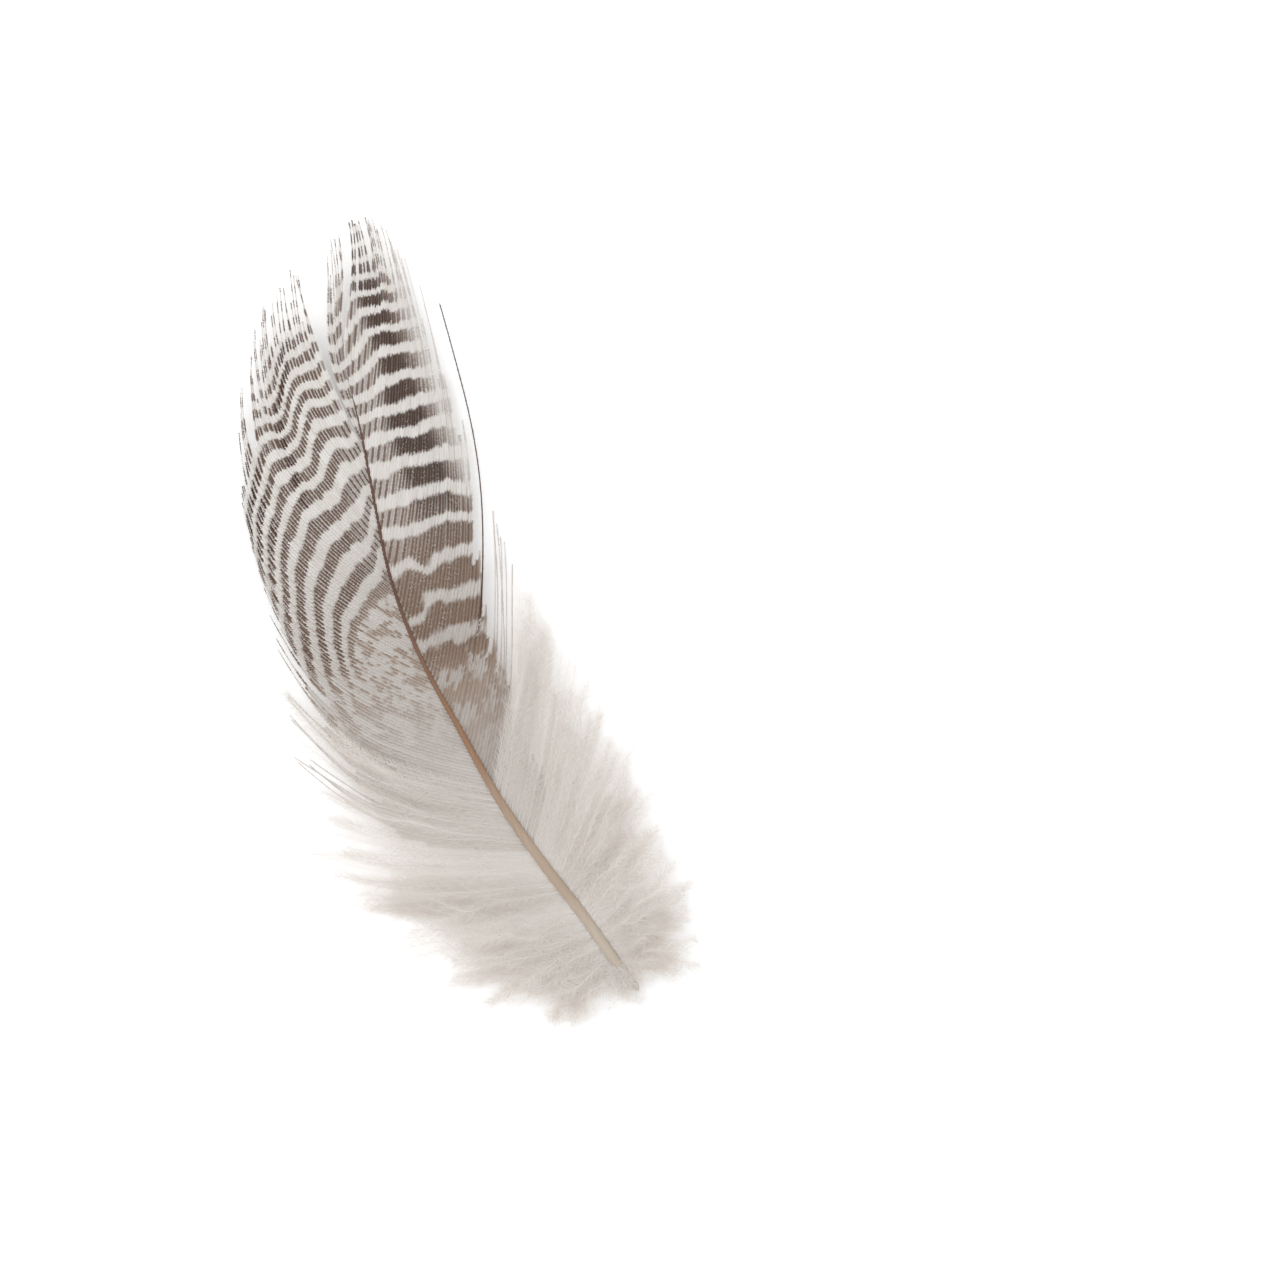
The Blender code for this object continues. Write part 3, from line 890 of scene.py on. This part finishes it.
def barred_material():
    """Off-white barbs crossed by wavy dark bars, from the attributes along each barb."""
    made, tree, shader = new_material("barred_barbs", 0.62)
    ease = eased(tree, flecked(tree, inside_bar(tree)), *BAR_EDGE, (-650, 300))
    deep = math_node(tree, "MULTIPLY", ease, value_of(tree, "depth", (-800, 0)), (-500, 250))
    pale = eased(tree, value_of(tree, "edge", (-800, -500)), *PALE_BARBULE, (-500, -300), (1.0, 0.12))
    shown = math_node(tree, "MAXIMUM", pale, value_of(tree, "solid", (-800, -650)), (-420, -150))
    amount = math_node(tree, "MULTIPLY", deep, shown, (-350, 50))
    fresh = mixed(tree, value_of(tree, "tone", (-950, 700)), LIGHT_BARB, WARM_BARB, (-750, 700))
    light = mixed(tree, value_of(tree, "dusk", (-750, 850)), fresh, DUSK_BARB, (-500, 700))
    barred = mixed(tree, value_of(tree, "warm", (-800, 550)), DARK_BROWN, MID_BROWN, (-650, 500))
    dark = mixed(tree, value_of(tree, "fade", (-650, 380)), barred, FLECK_BROWN, (-450, 500))
    tree.links.new(mixed(tree, amount, light, dark, (-200, 300)), shader.inputs["Base Color"])
    shader.inputs["Specular IOR Level"].default_value = 0.12
    add_bump(tree, shader, noise(tree, 6000.0, 2.0, (-500, -500)), 0.25, 0.00003)
    return made


def down_material():
    """Soft warm white down, greyer in random patches, with painted shade on the barbules' outer parts."""
    made, tree, shader = new_material("soft_down", 0.85)
    cloud = math_node(tree, "MULTIPLY", noise(tree, 260.0, 3.0, (-900, 200)), 0.5, (-700, 200))
    patch = math_node(tree, "MULTIPLY", cloud, value_of(tree, "tone", (-700, 0)), (-550, 100))
    # Painted shade: each barbule darkens towards its outer end
    outer = math_node(tree, "MULTIPLY", value_of(tree, "edge", (-700, -200)), 0.6, (-550, -100))
    both = math_node(tree, "ADD", patch, outer, (-400, 50))
    colour = mixed(tree, both, DOWN_WHITE, DOWN_GREY_AND_SHADE, (-250, 200))
    tree.links.new(colour, shader.inputs["Base Color"])
    shader.inputs["Specular IOR Level"].default_value = 0.2
    add_bump(tree, shader, noise(tree, 5000.0, 2.0, (-500, -300)), 0.2, 0.00003)
    return made


def horn_material():
    """Horn that runs from ivory at the quill through amber to reddish brown, with fine streaks."""
    made, tree, shader = new_material("shaft_horn", 0.34)
    streak = noise(tree, 900.0, 4.0, (-900, 50), (6.0, 0.25, 6.0))
    shift = math_node(tree, "MULTIPLY_ADD", streak, STREAK_SHIFT, (-700, 100), -0.5 * STREAK_SHIFT)
    shifted = math_node(tree, "ADD", value_of(tree, "along", (-900, 300)), shift, (-550, 200))
    ramp = node(tree, "ShaderNodeValToRGB", (-400, 300))
    for k, (spot, colour) in enumerate(HORN_STOPS):
        stop = ramp.color_ramp.elements[k] if k < 2 else ramp.color_ramp.elements.new(spot)
        stop.position = spot
        stop.color = (*colour, 1.0)
    tree.links.new(shifted, ramp.inputs["Fac"])
    tree.links.new(ramp.outputs["Color"], shader.inputs["Base Color"])
    add_bump(tree, shader, streak, 0.3, 0.00004)
    return made


def shaft_piece(look):
    """Build the shaft: a fine tapering rod, a little flattened, with a rounded quill end."""
    net = Net(("along",))
    y = np.linspace(QUILL_END_MM, SHAFT_END_MM, SHAFT_ROWS)
    finer = 1.0 - 0.35 * smoothstep(*SHAFT_FINER_MM, y) - 0.45 * smoothstep(*SHAFT_FINEST_MM, y)
    inside = 1.0 - np.minimum((y - QUILL_END_MM) / QUILL_ROUNDING_MM, 1.0)
    radius = shaft_radius(y) * finer
    radius = radius * np.sqrt(np.clip(1.0 - inside ** 2, 0.02, 1.0))
    x = shaft_x(y)
    middle = np.stack([x, y, arch(x, y) + shaft_radius(y)], -1)[None]
    _, across, up = frames(middle)
    angle = np.linspace(0.0, 2 * math.pi, SHAFT_SIDES, endpoint=False)
    sideways, upwards = np.cos(angle)[:, None], SHAFT_FLATNESS * np.sin(angle)[:, None]
    circle = across[:, :, None] * sideways + up[:, :, None] * upwards
    groove = 1.0 - SHAFT_GROOVE * np.exp(-((angle - 1.5 * math.pi) / 0.45) ** 2)
    ring = middle[:, :, None] + circle * radius[None, :, None, None] * groove[:, None]
    shape = (1, SHAFT_ROWS, SHAFT_SIDES + 1)
    u = np.broadcast_to(np.linspace(0.0, 1.0, SHAFT_ROWS)[None, :, None], shape)
    v = np.broadcast_to(np.linspace(0.0, 1.0, SHAFT_SIDES + 1)[None, None], shape)
    place = np.clip((y - QUILL_END_MM) / SHAFT_COLOUR_RUN_MM, 0.0, 1.0)[None, :, None]
    net.add_grid(ring, np.stack([u, v], -1), {"along": place}, closed=True)
    return net.make("shaft_horn", look, "shaft_horn", "shaft")


def vane_pieces(look):
    """Build the two vanes, with the loose dark strand outside the right one, and the tip of barbs."""
    rng = np.random.default_rng(SEED)
    roots = even_roots(LEFT_BARBS, -1, LEFT_ROOTS_MM, LEFT_PITCH_MM, VANE_PITCH_AT)
    net = Net(VANE_VALUES)
    vane_barbs(net, LEFT_BARBS, -1, -1, roots, rng, LEFT_LOOSE_SHARE, 1.0 / len(roots))
    net.make("left_vane_barbs", look, "barred_vane", "left_vane")
    roots = even_roots(RIGHT_BARBS, 1, RIGHT_ROOTS_MM, RIGHT_PITCH_MM, VANE_PITCH_AT)
    beside = (roots > STRAND_CLEAR_MM[0]) & (roots < STRAND_CLEAR_MM[1])
    kept = (np.where(beside, 0.0, RIGHT_LOOSE_SHARE) * smoothstep(*RIGHT_LOOSE_MM, roots))[:, None]
    strand = np.array([OUTER_STRAND_ROOT_MM])
    strip = 1.0 / (len(roots) + 1)
    net = Net(VANE_VALUES)
    vane_barbs(net, RIGHT_BARBS, 1, 1, roots, rng, kept, strip)
    vane_barbs(net, RIGHT_BARBS, 1, 1, strand, rng, 1.0, strip, len(roots), 1.0)
    net.make("right_vane_barbs", look, "barred_vane", "right_vane")
    roots = even_roots(CROWN_BARBS, -1, CROWN_ROOTS_MM, CROWN_PITCH_MM, CROWN_PITCH_AT)
    net = Net(VANE_VALUES)
    vane_barbs(net, CROWN_BARBS, -1, 1, roots, rng, 1.0, 1.0 / len(roots))
    net.make("tip_barbs", look, "barred_vane", "right_vane")


def down_barbs(net, table, side, roots, kind, strip, first, rng):
    """Add down barbs of a kind: soft wavy rami with long fine barbules all round."""
    size, curl, reach = kind
    barbs = len(roots)
    t = np.linspace(0.0, 1.0, DOWN_ROWS)[None] * rng.uniform(size[0], size[1], (barbs, 1))
    plan = swayed(barb_paths(table, side, roots, t), rng, curl, 1.3)
    lift = np.sin(math.pi * np.clip(t * 0.9 + 0.05, 0.0, 1.0))
    lift = rng.uniform(0.0, DOWN_LIFT_MM, (barbs, 1)) * lift
    base = arch(plan[..., 0], plan[..., 1]) + DOWN_BASE_MM
    room = np.clip((HIGHEST_MM - DOWN_CLEAR_MM - base) / DOWN_LIFT_MM, 0.0, 1.0)
    height = base + lift * room + waves(rng, *t.shape, 0.4 * curl, 1.6) * (0.25 + 0.75 * room)
    height = np.clip(height, 0.2, HIGHEST_MM - 0.5 * DOWN_CLEAR_MM)
    points = np.concatenate([plan, height[..., None]], -1)
    values = {"tone": np.broadcast_to(rng.random((barbs, 1)), t.shape), "edge": np.zeros(t.shape)}
    taper = 1.0 - 0.7 * t
    add_rami(net, points, DOWN_RAMUS_MM[0] * taper, DOWN_RAMUS_MM[1] * taper, values, strip, first)
    span = reach * smoothstep(-0.03, 0.08, t) * (1.0 - 0.4 * t)
    blade = np.full(t.shape, DOWN_BLADE_MM)
    add_barbules(net, points, values, span, blade, strip, first, rng, **DOWN_BARBULES)


def quill_tuft(net, strip, first, rng):
    """Add a small tuft that fans out over the quill's end."""
    one_each = (TUFT_BARBS, 1)
    turn = np.radians(rng.normal(*TUFT_TURN_DEG, one_each))
    t = np.linspace(0.0, 1.0, TUFT_ROWS)[None]
    reach = rng.uniform(*TUFT_REACH_MM, one_each) * t
    start = shaft_x(TUFT_ROOT_MM) + rng.uniform(-0.4, 0.4, one_each)
    x = start + reach * np.sin(turn) + waves(rng, TUFT_BARBS, TUFT_ROWS, TUFT_WAVE_MM, 1.0)
    low = rng.uniform(*TUFT_STARTS_MM, one_each)
    y = low + reach * np.cos(turn) + waves(rng, TUFT_BARBS, TUFT_ROWS, TUFT_WAVE_MM, 1.0)
    z = 0.9 + 0.5 * np.sin(math.pi * t) - 0.7 * t ** 2 + rng.uniform(-0.1, 0.2, one_each)
    points = np.stack([x, y, z], -1)
    tone = np.broadcast_to(TUFT_WHITENESS * rng.random(one_each), x.shape)
    values = {"tone": tone, "edge": np.zeros(x.shape)}
    flat = np.ones(x.shape)
    add_rami(net, points, TUFT_RAMUS_MM[0] * flat, TUFT_RAMUS_MM[1] * flat, values, strip, first)
    reach, blade = TUFT_BARBULE_REACH_MM * flat, TUFT_BLADE_MM * flat
    add_barbules(net, points, values, reach, blade, strip, first, rng, **TUFT_BARBULES)


def down_piece(name, look, table, side, rng, replaced, upper, tufted):
    """Build one side's down: curly at the base and straighter above, with wisps, and the tuft if tufted."""
    net = Net(DOWN_VALUES)
    stray = UPPER_DOWN_STRAY_MM
    kinds = (
        (np.sort(rng.uniform(*LOW_DOWN_ROOTS_MM, LOW_DOWN_BARBS)), LOW_DOWN),
        (np.linspace(*UPPER_DOWN_ROOTS_MM, upper) + rng.uniform(-stray, stray, upper), UPPER_DOWN),
        (np.sort(rng.uniform(*WISP_ROOTS_MM, WISP_BARBS)), WISPS),
    )
    strip = 1.0 / (sum(len(roots) for roots, _ in kinds) + (TUFT_BARBS if tufted else 0))
    first = 0
    for roots, kind in kinds:
        down_barbs(net, table, side, roots, kind, strip, first, rng)
        first += len(roots)
    if tufted:
        quill_tuft(net, strip, first, rng)
    return net.make(name, look, "white_down", replaced)


def down_pieces(look):
    """Build the down at the base of both vanes."""
    rng = np.random.default_rng(SEED + 1)
    down_piece("left_down", look, LEFT_BARBS, -1, rng, "left_vane", LEFT_UPPER_BARBS, True)
    down_piece("right_down", look, RIGHT_BARBS, 1, rng, "right_vane", RIGHT_UPPER_BARBS, False)


def lay_floor():
    """Lay a plain white floor that glows a little."""
    bpy.ops.mesh.primitive_plane_add(size=FLOOR_SIZE, location=(0.0, 0.0, 0.0))
    floor = bpy.context.object
    floor.name = "floor"
    made, _, shader = new_material("plain_floor", 0.9)
    shader.inputs["Base Color"].default_value = (*FLOOR_WHITE, 1.0)
    shader.inputs["Specular IOR Level"].default_value = 0.0
    shader.inputs["Emission Color"].default_value = WHITE
    shader.inputs["Emission Strength"].default_value = FLOOR_GLOW
    floor.data.materials.append(made)


def light_scene():
    """Light the feather softly from all round, with a broad lamp at the upper left."""
    world = bpy.data.worlds.new("soft_white")
    world.use_nodes = True
    world.node_tree.nodes["Background"].inputs["Color"].default_value = WHITE
    world.node_tree.nodes["Background"].inputs["Strength"].default_value = SKY_STRENGTH
    bpy.context.scene.world = world
    lamp = bpy.data.lights.new("softbox", "AREA")
    lamp.size = LAMP_SIZE
    lamp.energy = LAMP_POWER
    place = bpy.data.objects.new("softbox", lamp)
    place.location = LAMP_PLACE
    place.rotation_euler = [math.radians(turn) for turn in LAMP_TURN_DEG]
    bpy.context.scene.collection.objects.link(place)
    bpy.context.scene.view_settings.view_transform = "Standard"


def camera():
    """Look straight down at the photograph's scale and turn."""
    made = bpy.data.cameras.new("camera")
    made.sensor_width = SENSOR
    made.lens = SENSOR * CAMERA_HEIGHT / (PHOTO_WIDTH_PX * PX_MM * MM)
    made.clip_start = NEAREST
    place = bpy.data.objects.new("camera", made)
    middle = [(VIEW_MIDDLE_MM[k] - CENTRE_MM[k]) * MM for k in range(2)]
    place.location = (middle[0], middle[1], CAMERA_HEIGHT)
    place.rotation_euler = (0.0, 0.0, math.radians(VIEW_TURN_DEG))
    bpy.context.scene.collection.objects.link(place)
    bpy.context.scene.camera = place


camera()
lay_floor()
light_scene()
shaft_piece(horn_material())
vane_pieces(barred_material())
down_pieces(down_material())
